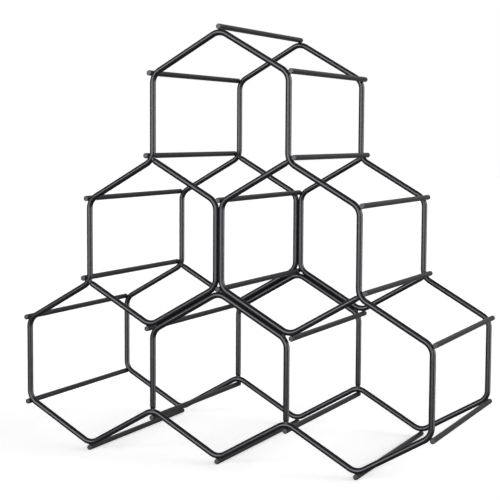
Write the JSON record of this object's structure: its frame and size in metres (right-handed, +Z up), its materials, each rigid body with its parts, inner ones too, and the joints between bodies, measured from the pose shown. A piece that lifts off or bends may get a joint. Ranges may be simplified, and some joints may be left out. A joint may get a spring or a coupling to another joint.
{
  "type": "wine rack",
  "caption": "Free-standing honeycomb wine rack of painted round wire: hexagonal cells stacked in a pyramid, each face bent from wire, with straight cross rods between the faces.",
  "frame": {"origin": "on the floor under the middle of the rack, half way between its front and back faces", "axes": "+X to the right along the rows of cells, +Y from the front face to the back face, along a lying bottle, +Z up"},
  "size_m": [0.3078, 0.147, 0.2971],
  "materials": {
    "face_wire": "satin black powder coat over steel wire",
    "cross_rod": "satin black powder coat over steel rod"
  },
  "bodies": {
    "root": {"front_outline_wire": "face_wire", "front_left_cell_wire": "face_wire", "front_right_cell_wire": "face_wire", "front_house_wire": "face_wire", "back_outline_wire": "face_wire", "back_left_cell_wire": "face_wire", "back_right_cell_wire": "face_wire", "back_house_wire": "face_wire", "rod_peak": "cross_rod", "rod_row2_upper_middle": "cross_rod", "rod_row2_lower_middle": "cross_rod", "rod_foot_middle": "cross_rod", "rod_row3_upper_left": "cross_rod", "rod_row3_upper_right": "cross_rod", "rod_row3_lower_left": "cross_rod", "rod_row3_lower_right": "cross_rod", "rod_row2_upper_left": "cross_rod", "rod_row2_upper_right": "cross_rod", "rod_row2_lower_left": "cross_rod", "rod_row2_lower_right": "cross_rod", "rod_row1_upper_outer_left": "cross_rod", "rod_row1_upper_outer_right": "cross_rod", "rod_row1_upper_inner_left": "cross_rod", "rod_row1_upper_inner_right": "cross_rod", "rod_row1_lower_outer_left": "cross_rod", "rod_row1_lower_outer_right": "cross_rod", "rod_row1_lower_inner_left": "cross_rod", "rod_row1_lower_inner_right": "cross_rod", "rod_foot_left": "cross_rod", "rod_foot_right": "cross_rod"}
  },
  "joints": []
}
